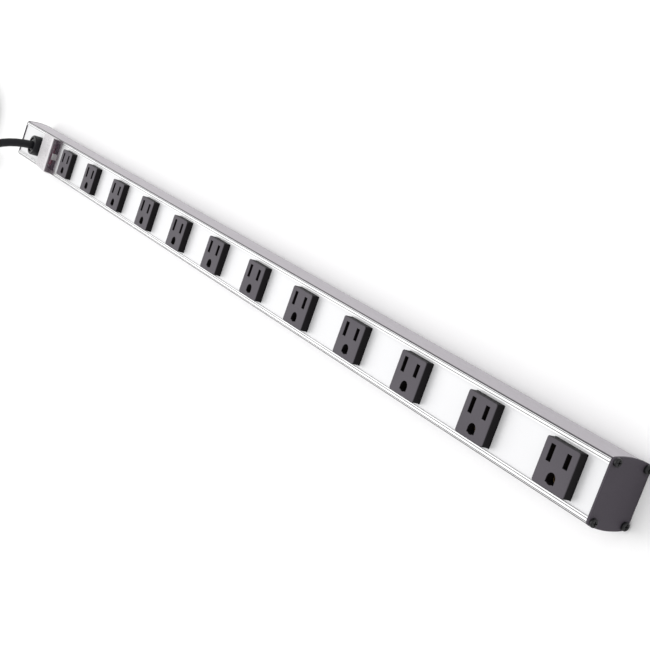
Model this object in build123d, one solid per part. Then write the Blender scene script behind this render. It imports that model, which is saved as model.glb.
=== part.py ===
from build123d import *
import math
import os

# Rack power strip: an extruded aluminium channel with a slide-in front panel, twelve
# outlets, a lighted rocker switch under a clear hinged guard, and a mains lead.
# Millimetres. X runs along the strip, Y across it and Z up, out of the outlet faces.
# The origin is at mid-length, mid-width, on the flat back.

# Overall sizes
strip_length = 917.0
back_half_width = 17.6
middle_half_width = 19.6
front_half_width = 17.8
middle_height = 13.5
lip_top = 29.3
wall = 1.6
outline_corner = 1.0

# Front panel, lips and the channel's inner blocks
lip_thickness = 0.8
lip_width = 3.6
panel_thickness = 1.5
panel_edge_inset = 2.9
slot_clearance = 0.05
ledge_width = 4.1
block_depth = 4.6
port_block = 4.6
lip_groove_insets = (2.6, 1.0)
lip_groove_width = 0.4
lip_groove_depth = 0.3
slide_clearance = 0.1

# End plates and their screws
plate_thickness = 1.5
plate_overhang = 0.2
plate_corner = 2.8
screw_front_inset = 1.5
screw_front_drop = 3.0
screw_back_inset = 2.0
screw_back_rise = 3.4
screw_shank_radius = 1.1
screw_length = 9.0
screw_head_radius = 2.45
screw_head_height = 1.7
screw_head_round = 0.7
screw_recess_width = 0.65
screw_recess_length = 2.9
screw_recess_depth = 0.8
screw_clearance = 0.05
plate_hole_clearance = 0.15

# Outlets
outlet_count = 12
outlet_pitch = 67.5
last_outlet_from_near_end = 29.1
outlet_side = 25.4
outlet_proud = 5.6
outlet_corner = 1.3
outlet_edge_chamfer = 0.35
outlet_split_height = 21.0
outlet_base_bottom = 8.0
outlet_base_inset = 0.5
cutout_clearance = 0.08
snap_arm_thickness = 0.9
snap_arm_width = 9.0
snap_arm_foot_height = 2.0
snap_gap = 0.1

# Openings in an outlet face, from the face's centre
blade_spacing = 12.7
blade_line = 5.2
line_slot_length = 8.1
neutral_slot_length = 9.4
blade_slot_width = 3.5
ground_hole_width = 6.6
ground_hole_height = 5.9
ground_line = 6.4

# Brass contacts and bus bars
contact_pocket_clearance = 0.4
blade_contact_depth = 6.6
blade_contact_gap = 1.4
contact_sheet = 0.6
contact_bottom = 15.0
contact_below_face = 3.9
ground_contact_inner_radius = 2.3
ground_contact_sheet = 0.5
bus_bar_thickness = 1.0
bus_bar_bottom = 9.2
bus_bar_height = 2.8
bus_groove_clearance = 0.4
line_bus_offset = 2.3
neutral_bus_offset = -2.3
bus_bar_end = 16.0

# Switch, from the strip's far end
switch_from_far_end = 97.2
bezel_length = 22.0
bezel_half_width = 13.8
bezel_proud = 2.0
bezel_edge_round = 0.6
switch_body_length = 19.4
switch_body_half_width = 12.2
switch_body_bottom = 9.0
switch_body_wall = 1.4
rocker_half_length = 6.2
rocker_half_width = 9.7
rocker_rim_height = 4.1
rocker_dip_height = 2.9
rocker_keel_depth = 4.5
rocker_keel_half_width = 3.6
rocker_gap = 0.35
rocker_end_gap = 1.1
rocker_swing = 11.0
pivot_below_panel = 1.0
pivot_radius = 0.9
pivot_clearance = 0.05
lamp_radius = 1.3
lamp_length = 9.0
lamp_above_floor = 2.1
terminal_width = 6.3
terminal_thickness = 0.8
terminal_drop = 4.6
terminal_spacing = 7.5

# Clear switch guard, from the strip's far end
hinge_from_far_end = 64.6
guard_end_from_far_end = 113.2
guard_crest_from_far_end = 101.2
guard_side_inset = 0.45
guard_wall = 1.0
guard_crest_height = 8.2
guard_low_height = 2.1
guard_gap = 0.2
guard_edge_round = 0.7
guard_foot_reach = 2.0
guard_foot_thickness = 0.8
hinge_pin_radius = 0.6
hinge_barrel_radius = 1.25
hinge_clearance = 0.05
hinge_half_length = 13.6
hinge_knuckle_length = 5.0
hinge_knuckle_gap = 0.35
hinge_plate_thickness = 0.6
hinge_plate_reach = 2.0
hinge_plate_gap = 0.35
hinge_gap = 0.3
latch_width = 6.0
latch_height = 4.6
latch_thickness = 1.6

# Mains lead: bushing, inner jacket and leads
cord_diameter = 8.4
cord_from_far_end = 52.2
bushing_head_radius = 10.1
bushing_proud = 8.6
bushing_edge_round = 1.3
bushing_rim_radius = 7.6
bushing_recess_depth = 1.4
bushing_stem_radius = 7.4
bushing_stem_depth = 8.0
bushing_bore_clearance = 0.02
bushing_hole_clearance = 0.1
bushing_lock_depth = 2.2
bushing_lock_width = 5.0
bushing_lock_reach = 1.2
inner_jacket_end = 15.0
lead_radius = 1.4
lead_floor = 4.6
lead_bend = 4.0
lead_bend_radius = 2.5
core_offset = 2.5
lead_end_gap = 0.2
ground_stud_from_far_end = 20.0
ground_stud_radius = 2.0
ground_stud_height = 9.0
ground_nut_radius = 4.0
ground_nut_height = 3.0
ring_terminal_radius = 4.2
ring_terminal_thickness = 1.0
ring_terminal_gap = 0.05
ring_terminal_lift = 1.5

# Route of the lead outside the strip: each point's x from the bushing's centre, then its y and z
cord_route_from_bushing = [
    (0.0, 0.0, 28.0),
    (0.0, 0.0, 56.0),
    (-6.0, -20.0, 88.0),
    (-47.0, -25.0, 130.0),
    (-97.0, -36.0, 126.0),
    (-136.0, -44.0, 96.0),
    (-162.0, -49.0, 56.0),
    (-185.0, -51.5, 16.0),
    (-223.0, -52.5, 4.2),
    (-263.0, -50.5, 4.2),
]

# Hank of folded lead, its tie and the plug on top
hank_from_bushing = 231.0
hank_length = 167.0
hank_middle_y = -17.6
hank_half_width = 37.6
hank_waist_half_width = 21.2
hank_layers = 6
hank_round = 3.0
tie_width = 16.0
tie_thickness = 1.3
last_run_lift = 1.2
plug_side_offset = -14.0
plug_rest_gap = 0.2
plug_body_length = 36.0
plug_body_half_width = 13.2
plug_body_height = 21.0
plug_body_round = 3.0
plug_relief_length = 24.0
plug_relief_radius = 6.6
plug_from_near_end = 56.0
blade_width = 6.3
blade_thickness = 1.5
blade_length = 16.5
ground_pin_radius = 2.4
ground_pin_length = 19.5
ground_pin_offset = 11.9

# Back slots for wall or rack screws, half a pitch inside the end outlets
back_slot_width = 4.6
back_slot_length = 11.0

# Places worked out from the sizes
near_end = strip_length / 2
far_end = -strip_length / 2
channel_length = strip_length - 2 * plate_thickness
lip_inner_half_width = front_half_width - lip_width
panel_half_width = front_half_width - panel_edge_inset
ledge_inner_half_width = front_half_width - ledge_width
screw_front_place = (front_half_width - screw_front_inset, lip_top - screw_front_drop)
screw_back_place = (back_half_width - screw_back_inset, screw_back_rise)
guard_half_width = front_half_width - guard_side_inset
panel_top = lip_top - lip_thickness
panel_bottom = panel_top - panel_thickness
outlet_top = panel_top + outlet_proud
contact_top = outlet_top - contact_below_face
last_outlet = near_end - last_outlet_from_near_end
first_outlet = last_outlet - (outlet_count - 1) * outlet_pitch
outlet_places = [first_outlet + i * outlet_pitch for i in range(outlet_count)]
switch_x = far_end + switch_from_far_end
hinge_x = far_end + hinge_from_far_end
cord_x = far_end + cord_from_far_end
guard_end = far_end + guard_end_from_far_end
guard_crest = far_end + guard_crest_from_far_end
hinge_z = panel_top + hinge_plate_thickness + hinge_barrel_radius
pivot_z = panel_top - pivot_below_panel
bushing_top = panel_top + bushing_proud
hank_near_x = cord_x - hank_from_bushing
hank_middle_x = hank_near_x - hank_length / 2
hank_height = hank_layers * cord_diameter
cord_radius = cord_diameter / 2
plug_bottom = hank_height + tie_thickness + plug_rest_gap
cord_route = [(cord_x + x, y, z) for x, y, z in cord_route_from_bushing]


def block(x_range, y_range, z_range):
    """A box between two corners."""
    size = [high - low for low, high in (x_range, y_range, z_range)]
    middle = [(low + high) / 2 for low, high in (x_range, y_range, z_range)]
    return Pos(*middle) * Box(*size)


def upright(radius, bottom, top, x, y):
    """A cylinder along Z."""
    return Pos(x, y, (bottom + top) / 2) * Cylinder(radius, top - bottom)


def along_x(radius, start, end, y, z):
    """A cylinder along X."""
    return Pos((start + end) / 2, y, z) * Rot(0, 90, 0) * Cylinder(radius, end - start)


def along_y(radius, start, end, x, z):
    """A cylinder along Y."""
    return Pos(x, (start + end) / 2, z) * Rot(90, 0, 0) * Cylinder(radius, end - start)


def cross_section(outline, start, end):
    """An outline drawn across the strip, run along X."""
    return Pos(start, 0, 0) * extrude(Plane.YZ * outline, amount=end - start)


def barrel_outline(grow, corner):
    """The channel's outline, grown or shrunk: a flat back, bulged sides and a flat front."""
    back = back_half_width + grow
    middle = middle_half_width + grow
    front = front_half_width + grow
    edges = Curve() + [
        Line((-back, -grow), (back, -grow)),
        ThreePointArc((back, -grow), (middle, middle_height), (front, lip_top + grow)),
        Line((front, lip_top + grow), (-front, lip_top + grow)),
        ThreePointArc((-front, lip_top + grow), (-middle, middle_height), (-back, -grow)),
    ]
    outline = make_face(edges)
    return fillet(outline.vertices(), corner)


def rectangle(y_range, z_range):
    """A rectangle across the strip."""
    width = y_range[1] - y_range[0]
    height = z_range[1] - z_range[0]
    return Pos((y_range[0] + y_range[1]) / 2, (z_range[0] + z_range[1]) / 2) * Rectangle(width, height)


def both_sides(y_range, z_range):
    """A rectangle and its mirror image on the other side."""
    low, high = y_range
    return rectangle((low, high), z_range) + rectangle((-high, -low), z_range)


def channel_outline():
    """The extrusion: walls, lips, the panel's ledges and four screw ports."""
    outside = barrel_outline(0, outline_corner)
    cavity = barrel_outline(-wall, outline_corner)
    front_blocks = both_sides(
        (panel_half_width + slot_clearance, middle_half_width),
        (panel_bottom - block_depth, lip_top),
    )
    ledges = both_sides(
        (ledge_inner_half_width, front_half_width), (panel_bottom - 2 * wall, panel_bottom - slot_clearance)
    )
    port_edge = screw_back_place[0] - port_block / 2
    back_blocks = both_sides((port_edge, middle_half_width), (0, screw_back_place[1] + port_block / 2))
    lips = both_sides((lip_inner_half_width, front_half_width), (panel_top + slot_clearance, lip_top))
    mouth = rectangle((-lip_inner_half_width, lip_inner_half_width), (lip_top - wall - 1, lip_top + 1))
    inner = (front_blocks + ledges + back_blocks + lips) & outside
    outline = outside - cavity - mouth + inner
    panel_slot = rectangle(
        (-panel_half_width - slot_clearance, panel_half_width + slot_clearance),
        (panel_bottom - slot_clearance, panel_top + slot_clearance),
    )
    outline -= panel_slot
    for y, z in (screw_front_place, screw_back_place):
        for side in (-1, 1):
            outline -= Pos(side * y, z) * Circle(screw_shank_radius + screw_clearance)
    return outline


def back_slot_places():
    """Where the two back slots are, half a pitch inside the first and last outlets."""
    return (first_outlet + outlet_pitch / 2, last_outlet - outlet_pitch / 2)


def make_housing():
    half = channel_length / 2
    body = cross_section(channel_outline(), -half, half)
    for inset in lip_groove_insets:
        place = front_half_width - inset
        for side in (-1, 1):
            y_range = (side * place - lip_groove_width / 2, side * place + lip_groove_width / 2)
            body -= block((-half, half), y_range, (lip_top - lip_groove_depth, lip_top + 1))
    slot = extrude(SlotOverall(back_slot_length, back_slot_width), amount=3 * wall, both=True)
    for x in back_slot_places():
        body -= Pos(x, 0, 0) * slot
    stud_x = far_end + ground_stud_from_far_end
    body += upright(ground_stud_radius, wall / 2, ground_stud_height, stud_x, 0)
    return body


def make_front_panel():
    half = channel_length / 2 - slide_clearance
    panel = block((-half, half), (-panel_half_width, panel_half_width), (panel_bottom, panel_top))
    side = outlet_side + 2 * cutout_clearance
    for x in outlet_places:
        panel -= Pos(x, 0, panel_top) * Box(side, side, 4 * panel_thickness)
    opening = Box(
        switch_body_length + 2 * cutout_clearance,
        2 * (switch_body_half_width + cutout_clearance),
        4 * panel_thickness,
    )
    panel -= Pos(switch_x, 0, panel_top) * opening
    hole_radius = bushing_stem_radius + bushing_hole_clearance
    panel -= upright(hole_radius, panel_bottom - 1, panel_top + 1, cord_x, 0)
    return panel


def screw_places():
    """The four screws of one end, as (y, z)."""
    return [(side * y, z) for y, z in (screw_front_place, screw_back_place) for side in (-1, 1)]


def make_end_plate(side):
    outline = barrel_outline(plate_overhang, plate_corner)
    lift = rectangle((-middle_half_width - 2, middle_half_width + 2), (0, lip_top + 2))
    inner_face = channel_length / 2
    plate = cross_section(outline & lift, inner_face, inner_face + plate_thickness)
    outer_edges = plate.faces().sort_by(Axis.X)[-1].edges()
    plate = fillet(outer_edges, plate_thickness / 3)
    for y, z in screw_places():
        radius = screw_shank_radius + plate_hole_clearance
        plate -= along_x(radius, inner_face - 1, inner_face + plate_thickness + 1, y, z)
    return plate if side > 0 else mirror(plate, Plane.YZ)


def make_screw(y, z):
    """One pan-head screw with a cross recess, at the near end."""
    seat = near_end + slot_clearance
    head = along_x(screw_head_radius, seat, seat + screw_head_height, y, z)
    head = fillet(head.edges().sort_by(Axis.X)[-1], screw_head_round)
    shank = along_x(screw_shank_radius, seat - screw_length, seat + 0.1, y, z)
    screw = head + shank
    recess_range = (seat + screw_head_height - screw_recess_depth, seat + screw_head_height + 1)
    half_width = screw_recess_width / 2
    half_length = screw_recess_length / 2
    screw -= block(recess_range, (y - half_width, y + half_width), (z - half_length, z + half_length))
    screw -= block(recess_range, (y - half_length, y + half_length), (z - half_width, z + half_width))
    return screw


def make_end_screws(side):
    screws = [make_screw(y, z) for y, z in screw_places()]
    if side < 0:
        screws = [mirror(screw, Plane.YZ) for screw in screws]
    return Compound(children=screws)


def ground_hole_outline():
    """A D-shaped hole, round towards the blade slots and flat away from them."""
    radius = ground_hole_width / 2
    straight = ground_hole_height - radius
    round_top = Circle(radius)
    square_foot = Pos(0, -straight / 2) * Rectangle(ground_hole_width, straight)
    return Pos(0, straight - ground_hole_height / 2) * (round_top + square_foot)


def blade_places():
    """Line and neutral slots as (x, y, length), from the outlet's centre."""
    half = blade_spacing / 2
    return ((half, blade_line, line_slot_length), (-half, blade_line, neutral_slot_length))


def contact_pockets(bottom, top):
    """The spaces that hold one outlet's three contacts."""
    half_x = blade_contact_gap / 2 + contact_sheet + contact_pocket_clearance
    half_y = blade_contact_depth / 2 + contact_pocket_clearance
    pockets = []
    for x, y, _ in blade_places():
        pockets.append(block((x - half_x, x + half_x), (y - half_y, y + half_y), (bottom, top)))
    ring = ground_contact_inner_radius + ground_contact_sheet + contact_pocket_clearance
    pockets.append(upright(ring, bottom, top, 0, -ground_line))
    return pockets


def make_outlet_face():
    """One outlet's front moulding at x = 0."""
    half = outlet_side / 2
    body = block((-half, half), (-half, half), (outlet_split_height, outlet_top))
    body = fillet(body.edges().filter_by(Axis.Z), outlet_corner)
    body = chamfer(body.faces().sort_by(Axis.Z)[-1].edges(), outlet_edge_chamfer)
    slot_range = (outlet_split_height - 1, outlet_top + 1)
    half_slot = blade_slot_width / 2
    for x, y, length in blade_places():
        body -= block((x - half_slot, x + half_slot), (y - length / 2, y + length / 2), slot_range)
    hole = extrude(ground_hole_outline(), amount=slot_range[1] - slot_range[0])
    return body - Pos(0, -ground_line, slot_range[0]) * hole


def bus_places():
    """Line, neutral and ground bus bars as their y."""
    return (blade_line + line_bus_offset, blade_line + neutral_bus_offset, -ground_line)


def snap_arm(side, half):
    """An arm of the rear moulding that rises beside the front one and bears under the panel."""
    inner = outlet_side / 2 + snap_gap
    outer = inner + snap_arm_thickness
    width = (-snap_arm_width / 2, snap_arm_width / 2)
    foot_top = outlet_split_height - snap_gap
    foot_bottom = foot_top - snap_arm_foot_height
    foot = block(sorted((side * (half - outlet_corner), side * outer)), width, (foot_bottom, foot_top))
    rise = block(sorted((side * inner, side * outer)), width, (foot_bottom, panel_bottom - snap_gap))
    return foot + rise


def make_outlet_base():
    """One outlet's rear moulding at x = 0, with snap arms and grooves for the bus bars."""
    half = outlet_side / 2 - outlet_base_inset
    body = block((-half, half), (-half, half), (outlet_base_bottom, outlet_split_height))
    body = fillet(body.edges().filter_by(Axis.Z), outlet_corner)
    for side in (-1, 1):
        body += snap_arm(side, half)
    for pocket in contact_pockets(contact_bottom - contact_pocket_clearance, outlet_split_height + 1):
        body -= pocket
    groove_half = bus_bar_thickness / 2 + bus_groove_clearance
    for y in bus_places():
        groove_top = bus_bar_bottom + bus_bar_height + bus_groove_clearance
        body -= block((-half - 1, half + 1), (y - groove_half, y + groove_half), (0, groove_top))
    tail_half = contact_sheet / 2 + bus_groove_clearance
    tails = zip((blade_spacing / 2, -blade_spacing / 2, 0), bus_places())
    for x, y in tails:
        tail_x = (x - tail_half - 1, x + tail_half + 1)
        body -= block(tail_x, (y - groove_half, y + groove_half), (bus_bar_bottom, contact_bottom + 1))
    return body


def make_blade_contact(x, bus_y):
    """A folded brass clip that grips one blade, with a tail down to its bus bar."""
    half_gap = blade_contact_gap / 2
    half_x = half_gap + contact_sheet
    y_range = (blade_line - blade_contact_depth / 2, blade_line + blade_contact_depth / 2)
    clip = block((x - half_x, x + half_x), y_range, (contact_bottom, contact_top))
    clip -= block((x - half_gap, x + half_gap), (y_range[0] - 1, y_range[1] + 1), (
        contact_bottom + contact_sheet, contact_top + 1
    ))
    tail_y = (bus_y - bus_bar_thickness / 2, bus_y + bus_bar_thickness / 2)
    tail = block((x - 1, x + 1), tail_y, (bus_bar_bottom + bus_bar_height, contact_bottom))
    return clip + tail


def make_ground_contact():
    """A split brass sleeve that grips the round pin."""
    outer = ground_contact_inner_radius + ground_contact_sheet
    sleeve = upright(outer, contact_bottom, contact_top - 1, 0, -ground_line)
    floor = contact_bottom + contact_sheet
    sleeve -= upright(ground_contact_inner_radius, floor, contact_top, 0, -ground_line)
    split = (contact_bottom + 4 * contact_sheet, contact_top)
    sleeve -= block((-contact_sheet, contact_sheet), (-ground_line, 0), split)
    tail_y = (-ground_line - bus_bar_thickness / 2, -ground_line + bus_bar_thickness / 2)
    return sleeve + block((-1, 1), tail_y, (bus_bar_bottom + bus_bar_height, contact_bottom))


def make_contacts(shape):
    """The same contact in every outlet."""
    return Compound(children=[Pos(x, 0, 0) * shape for x in outlet_places])


def make_bus_bar(y):
    x_range = (first_outlet - bus_bar_end, last_outlet + bus_bar_end / 2)
    y_range = (y - bus_bar_thickness / 2, y + bus_bar_thickness / 2)
    return block(x_range, y_range, (bus_bar_bottom, bus_bar_bottom + bus_bar_height))


def make_switch_body():
    """The switch's black case: a bezel on the panel and a box below it."""
    half = bezel_length / 2
    bezel = block((-half, half), (-bezel_half_width, bezel_half_width), (panel_top, panel_top + bezel_proud))
    bezel = fillet(bezel.faces().sort_by(Axis.Z)[-1].edges(), bezel_edge_round)
    case_half = switch_body_length / 2
    case_width = (-switch_body_half_width, switch_body_half_width)
    case = block((-case_half, case_half), case_width, (switch_body_bottom, panel_top))
    body = bezel + case
    well = block(
        (-rocker_half_length - rocker_gap, rocker_half_length + rocker_gap),
        (-rocker_half_width - rocker_end_gap, rocker_half_width + rocker_end_gap),
        (switch_body_bottom + switch_body_wall, panel_top + bezel_proud + 1),
    )
    body -= well
    body -= along_x(pivot_radius, -case_half + 1, case_half - 1, 0, pivot_z)
    return Pos(switch_x, 0, 0) * body


def make_rocker():
    """The rocker with its shallow V top, tipped to one side."""
    points = [
        (-rocker_keel_half_width, -rocker_keel_depth),
        (rocker_keel_half_width, -rocker_keel_depth),
        (rocker_half_width, rocker_rim_height - 3),
        (rocker_half_width, rocker_rim_height),
        (0, rocker_dip_height),
        (-rocker_half_width, rocker_rim_height),
        (-rocker_half_width, rocker_rim_height - 3),
    ]
    outline = make_face(Polyline(*points, close=True))
    outline = fillet(outline.vertices(), 0.6)
    rocker = cross_section(outline, -rocker_half_length, rocker_half_length)
    rocker -= along_x(pivot_radius + pivot_clearance, -rocker_half_length - 1, rocker_half_length + 1, 0, 0)
    return Pos(switch_x, 0, pivot_z) * Rot(-rocker_swing, 0, 0) * rocker


def make_rocker_pivot():
    half = switch_body_length / 2 - 1
    return along_x(pivot_radius, switch_x - half, switch_x + half, 0, pivot_z)


def make_switch_lamp():
    z = switch_body_bottom + switch_body_wall + lamp_above_floor
    return along_y(lamp_radius, -lamp_length / 2, lamp_length / 2, switch_x, z)


def make_switch_terminals():
    """Three flat tabs under the switch."""
    top = switch_body_bottom
    tabs = []
    for y in (-terminal_spacing, 0, terminal_spacing):
        y_range = (y - terminal_thickness / 2, y + terminal_thickness / 2)
        x_range = (switch_x - terminal_width / 2, switch_x + terminal_width / 2)
        tabs.append(block(x_range, y_range, (top - terminal_drop, top)))
    return Compound(children=tabs)


def guard_outline(inset):
    """The guard's side view: a ramp from the hinge up to a crest, then a flat top and an end wall."""
    low = lip_top + guard_gap
    bottom = low if inset == 0 else low - 1
    left = hinge_x + hinge_barrel_radius + hinge_gap
    top = panel_top + guard_crest_height - inset
    start = (left + inset, panel_top + guard_low_height + 1 - inset)
    points = [
        (left + inset, bottom),
        start,
        (guard_crest, top),
        (guard_end - inset, top - 0.6),
        (guard_end - inset, bottom),
    ]
    return make_face(Polyline(*points, close=True))


def guard_solid(inset):
    """The guard's outline run across the strip."""
    half = guard_half_width - inset
    outline = Plane.XZ * guard_outline(inset)
    return Pos(0, half, 0) * extrude(outline, amount=2 * half)


def make_switch_guard():
    """The clear hood over the switch, with its foot and its hinge knuckles."""
    outside = guard_solid(0)
    top_edges = outside.edges().filter_by(lambda edge: edge.center().Z > lip_top + guard_gap + 1.5)
    outside = fillet(top_edges, guard_edge_round)
    hood = outside - guard_solid(guard_wall)
    foot_z = lip_top + guard_gap
    foot_x = (guard_end - guard_wall / 2, guard_end + guard_foot_reach)
    hood += block(foot_x, (-guard_half_width, guard_half_width), (foot_z, foot_z + guard_foot_thickness))
    return hood + guard_knuckles()


def knuckle_places():
    """The guard's knuckle and the base's two, as y ranges that leave gaps between them."""
    inner = hinge_half_length - hinge_knuckle_length
    return (-inner + hinge_knuckle_gap, inner - hinge_knuckle_gap), (inner, hinge_half_length)


def guard_knuckles():
    """The guard's middle barrel round the pin, and the strap that joins it to the hood."""
    middle, _ = knuckle_places()
    barrel = along_y(hinge_barrel_radius, *middle, hinge_x, hinge_z)
    left = hinge_x + hinge_barrel_radius + hinge_gap
    strap_z = (lip_top + guard_gap + guard_wall / 2, hinge_z + hinge_barrel_radius)
    strap = block((hinge_x, left + guard_wall / 2), middle, strap_z)
    bore = along_y(hinge_pin_radius + hinge_clearance, middle[0] - 1, middle[1] + 1, hinge_x, hinge_z)
    return barrel + strap - bore


def make_hinge_base():
    """The hinge's fixed leaf on the panel, with a knuckle at each end."""
    _, outer = knuckle_places()
    width = (hinge_x - hinge_plate_reach, hinge_x + hinge_plate_reach)
    leaf_top = panel_top + hinge_plate_thickness - hinge_plate_gap
    leaf = block(width, (-hinge_half_length, hinge_half_length), (panel_top, leaf_top))
    post = (hinge_x - hinge_barrel_radius, hinge_x + hinge_barrel_radius)
    for side in (-1, 1):
        span = sorted((side * outer[0], side * outer[1]))
        leaf += along_y(hinge_barrel_radius, *span, hinge_x, hinge_z)
        leaf += block(post, span, (panel_top, hinge_z))
    leaf -= along_y(hinge_pin_radius, -hinge_half_length - 1, hinge_half_length + 1, hinge_x, hinge_z)
    return leaf


def make_hinge_pin():
    return along_y(hinge_pin_radius, -hinge_half_length, hinge_half_length, hinge_x, hinge_z)


def make_guard_latch():
    """The white tab at the top of the guard's end wall, on its inner face."""
    top = panel_top + guard_crest_height - guard_wall - 0.8
    x_range = (guard_end - guard_wall - latch_thickness, guard_end - guard_wall)
    return block(x_range, (-latch_width / 2, latch_width / 2), (top - latch_height, top))


def make_cord_bushing():
    """The round bushing that holds the lead where it leaves the panel."""
    head = upright(bushing_head_radius, panel_top, bushing_top, cord_x, 0)
    head = fillet(head.edges().sort_by(Axis.Z)[-1], bushing_edge_round)
    recess = upright(bushing_rim_radius, bushing_top - bushing_recess_depth, bushing_top + 1, cord_x, 0)
    collar = upright(cord_radius + 1.4, bushing_top - bushing_recess_depth, bushing_top - 0.5, cord_x, 0)
    stem = upright(bushing_stem_radius, panel_top - bushing_stem_depth, panel_top, cord_x, 0)
    bore_radius = cord_radius + bushing_bore_clearance
    bore = upright(bore_radius, panel_top - bushing_stem_depth - 1, bushing_top + 1, cord_x, 0)
    return head - recess + collar + stem - bore


def make_bushing_lock():
    """The wedge that locks the bushing under the panel."""
    top = panel_bottom - snap_gap
    reach = (cord_x - bushing_stem_radius - bushing_lock_reach, cord_x - bushing_stem_radius)
    return block(reach, (-bushing_lock_width / 2, bushing_lock_width / 2), (top - bushing_lock_depth, top))


def make_inner_jacket():
    """The lead's jacket below the panel, down to where its cores part."""
    return upright(cord_radius, inner_jacket_end, cord_route[0][2], cord_x, 0)


def lead(points):
    """An insulated wire along a route inside the channel."""
    path = FilletPolyline(*points, radius=lead_bend_radius)
    profile = Plane(origin=path @ 0, z_dir=path % 0) * Circle(lead_radius)
    return sweep(profile, path)


def make_line_lead():
    """From the lead to the switch's terminal."""
    end_x = switch_x - terminal_width / 2 - lead_end_gap
    tab_z = switch_body_bottom - terminal_drop / 2
    x = cord_x + core_offset
    y = core_offset / 2
    route = [(x, y, inner_jacket_end), (x, y, lead_floor + lead_bend)]
    route += [(x + 3 * lead_bend, terminal_spacing * 0.9, tab_z), (end_x, terminal_spacing, tab_z)]
    return lead(route)


def make_switched_lead():
    """From the switch's terminal to the line bus bar."""
    start_x = switch_x + terminal_width / 2 + lead_end_gap
    tab_z = switch_body_bottom - terminal_drop / 2
    bar_x = first_outlet - bus_bar_end
    bar_y = bus_places()[0]
    bar_z = bus_bar_bottom + bus_bar_height / 2
    route = [(start_x, 0, tab_z), (start_x + 2 * lead_bend, 0, tab_z)]
    route += [(bar_x - 2 * lead_bend, bar_y, bar_z), (bar_x, bar_y, bar_z)]
    return lead(route)


def make_neutral_lead():
    """From the lead, past the switch, to the neutral bus bar."""
    bar_x = first_outlet - bus_bar_end
    bar_y = bus_places()[1]
    bar_z = bus_bar_bottom + bus_bar_height / 2
    side_y = -terminal_spacing - lead_bend
    x = cord_x + core_offset / 2
    y = -core_offset
    route = [(x, y, inner_jacket_end), (x, y, lead_floor + lead_bend)]
    route += [(x + 2 * lead_bend, side_y, lead_floor), (switch_x + 3 * lead_bend, side_y, lead_floor)]
    route += [(bar_x - 2 * lead_bend, bar_y, bar_z), (bar_x, bar_y, bar_z)]
    return lead(route)


def make_ground_lead():
    """From the lead to the ring terminal on the channel's stud."""
    z = wall + ring_terminal_lift + ring_terminal_thickness / 2
    end_x = far_end + ground_stud_from_far_end + ring_terminal_radius + lead_end_gap
    x = cord_x - core_offset
    route = [(x, 0, inner_jacket_end), (x, 0, z + lead_bend)]
    route += [(x - 2 * lead_bend, -1, z), (end_x, 0, z)]
    return lead(route)


def make_ring_terminal():
    stud_x = far_end + ground_stud_from_far_end
    bottom = wall + ring_terminal_lift
    ring = upright(ring_terminal_radius, bottom, bottom + ring_terminal_thickness, stud_x, 0)
    return ring - upright(ground_stud_radius + ring_terminal_gap, 0, bottom + 9, stud_x, 0)


def make_ground_nut():
    stud_x = far_end + ground_stud_from_far_end
    bottom = wall + ring_terminal_lift + ring_terminal_thickness
    nut = extrude(RegularPolygon(ground_nut_radius, 6), amount=ground_nut_height)
    return Pos(stud_x, 0, bottom) * nut - upright(ground_stud_radius + ring_terminal_gap, 0, 30, stud_x, 0)


def bend_radii():
    """The largest arc that each corner of the lead's route has room for."""
    points = [Vector(*point) for point in cord_route]
    radii = []
    for before, corner, after in zip(points, points[1:], points[2:]):
        turn = math.radians((corner - before).get_angle(after - corner))
        shorter = min((corner - before).length, (after - corner).length)
        radii.append(0.45 * shorter / math.tan(turn / 2))
    return radii


def cord_path():
    return FilletPolyline(*cord_route, radius=bend_radii())


def make_cord_tube():
    path = cord_path()
    profile = Plane(origin=path @ 0, z_dir=path % 0) * Circle(cord_radius)
    return sweep(profile, path)


def hank_outline():
    """The hank from above: two rounded ends and a waist where the tie holds it."""
    half_length = hank_length / 2
    shoulder = half_length - hank_half_width
    width = hank_half_width
    waist = hank_waist_half_width
    edges = Curve() + [
        ThreePointArc((-shoulder, width), (0, waist), (shoulder, width)),
        ThreePointArc((shoulder, width), (half_length, 0), (shoulder, -width)),
        ThreePointArc((shoulder, -width), (0, -waist), (-shoulder, -width)),
        ThreePointArc((-shoulder, -width), (-half_length, 0), (-shoulder, width)),
    ]
    return make_face(edges)


def make_tie():
    """A hook-and-loop strap round the hank's waist."""
    half = tie_width / 2
    outer_y = hank_waist_half_width + tie_thickness
    outer = block((-half, half), (-outer_y, outer_y), (0, hank_height + tie_thickness))
    inner = block(
        (-half - 1, half + 1), (-hank_waist_half_width, hank_waist_half_width), (tie_thickness, hank_height)
    )
    return Pos(hank_middle_x, hank_middle_y, 0) * (outer - inner)


def last_run():
    """The strand on top of the hank that leads to the plug, as its start and end in x."""
    plug_rear = hank_near_x - plug_from_near_end
    return plug_rear, hank_near_x - hank_half_width / 2


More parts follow.
